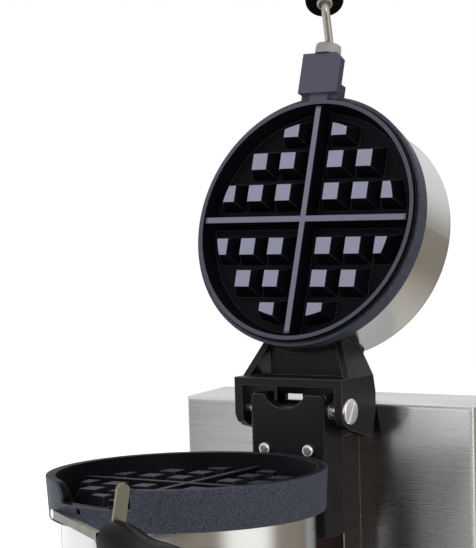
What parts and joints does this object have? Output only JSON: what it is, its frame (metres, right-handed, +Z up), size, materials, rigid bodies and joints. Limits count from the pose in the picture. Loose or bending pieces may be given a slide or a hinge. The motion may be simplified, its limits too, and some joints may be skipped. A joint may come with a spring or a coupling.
{
  "type": "waffle baker",
  "caption": "Counter-top round waffle baker: fixed lower grid on a stainless base, hinged upper grid on a rear bracket, rear cabinet, two black grips.",
  "frame": {"origin": "on the table plane under the feet, straight below the centre of the whole outline", "axes": "+Z up, +X to the user's right, +Y from the front panel to the rear cabinet"},
  "size_m": [0.256, 0.467, 0.5685],
  "materials": {
    "grid_casting": "satin seasoned casting",
    "stainless": "brushed",
    "hinge_black": "satin black",
    "bright_steel": "bright zinc",
    "strip_steel": "plain strip",
    "heater_steel": "heat-tinted",
    "plate_steel": "zinc plated",
    "bronze": "sintered bronze",
    "grip_black": "moulded black",
    "rubber_foot": "moulded rubber",
    "wool": "mineral wool",
    "ceramic": "glazed ceramic",
    "black_plastic": "moulded",
    "rocker_red": "moulded",
    "lamp_green": "translucent lens",
    "lamp_amber": "translucent lens"
  },
  "bodies": {
    "base": {"lower_grid": "grid_casting", "lower_shell": "stainless", "lower_support_posts": "plate_steel", "lower_shell_screws": "bright_steel", "lower_heater": "heater_steel", "lower_heater_clamp": "plate_steel", "lower_heater_screws": "plate_steel", "lower_insulation": "wool", "thermostat_bulb": "bronze", "lower_handle_bracket": "strip_steel", "lower_handle_arm_screw": "bright_steel", "lower_grip_bolt": "bright_steel", "lower_grip": "grip_black", "hinge_bracket": "hinge_black", "hinge_bushes": "plate_steel", "bracket_screws": "bright_steel", "bracket_nuts": "plate_steel", "neck": "stainless", "base_cover": "stainless", "base_pan": "plate_steel", "feet": "rubber_foot", "foot_screws": "plate_steel", "rear_cabinet": "stainless", "rear_panel": "stainless", "panel_screws": "bright_steel", "thermostat": "black_plastic", "power_switch": "black_plastic", "power_lamp": "lamp_green", "ready_lamp": "lamp_amber", "terminal_block": "ceramic", "power_inlet": "black_plastic"},
    "head": {"upper_grid": "grid_casting", "upper_cover": "stainless", "upper_heater": "heater_steel", "upper_heater_clamp": "plate_steel", "upper_heater_screws": "plate_steel", "upper_insulation": "wool", "upper_saddle_plate": "plate_steel", "head_hinge_casting": "hinge_black", "hinge_casting_screws": "bright_steel", "hinge_pin": "bright_steel", "hinge_pin_nut": "bright_steel", "upper_handle_rod": "bright_steel", "upper_handle_nut": "bright_steel", "upper_grip": "grip_black", "upper_grip_ferrule": "bright_steel"},
    "knob": {"thermostat_knob": "black_plastic"},
    "rocker": {"power_rocker": "rocker_red"}
  },
  "joints": [
    {"name": "head_hinge", "type": "hinge", "parent": "base", "child": "head", "pos_m": [0, 0.09373, 0.18], "axis": [1, 0, 0], "range_deg": [0, 107.7]},
    {"name": "thermostat_turn", "type": "hinge", "parent": "base", "child": "knob", "pos_m": [0.078, -0.16827, 0.0395], "axis": [0, -1, 0], "range_deg": [-270, 0]},
    {"name": "rocker_tilt", "type": "hinge", "parent": "base", "child": "rocker", "pos_m": [-0.092, -0.16527, 0.0395], "axis": [1, 0, 0], "range_deg": [-10, 10]}
  ]
}
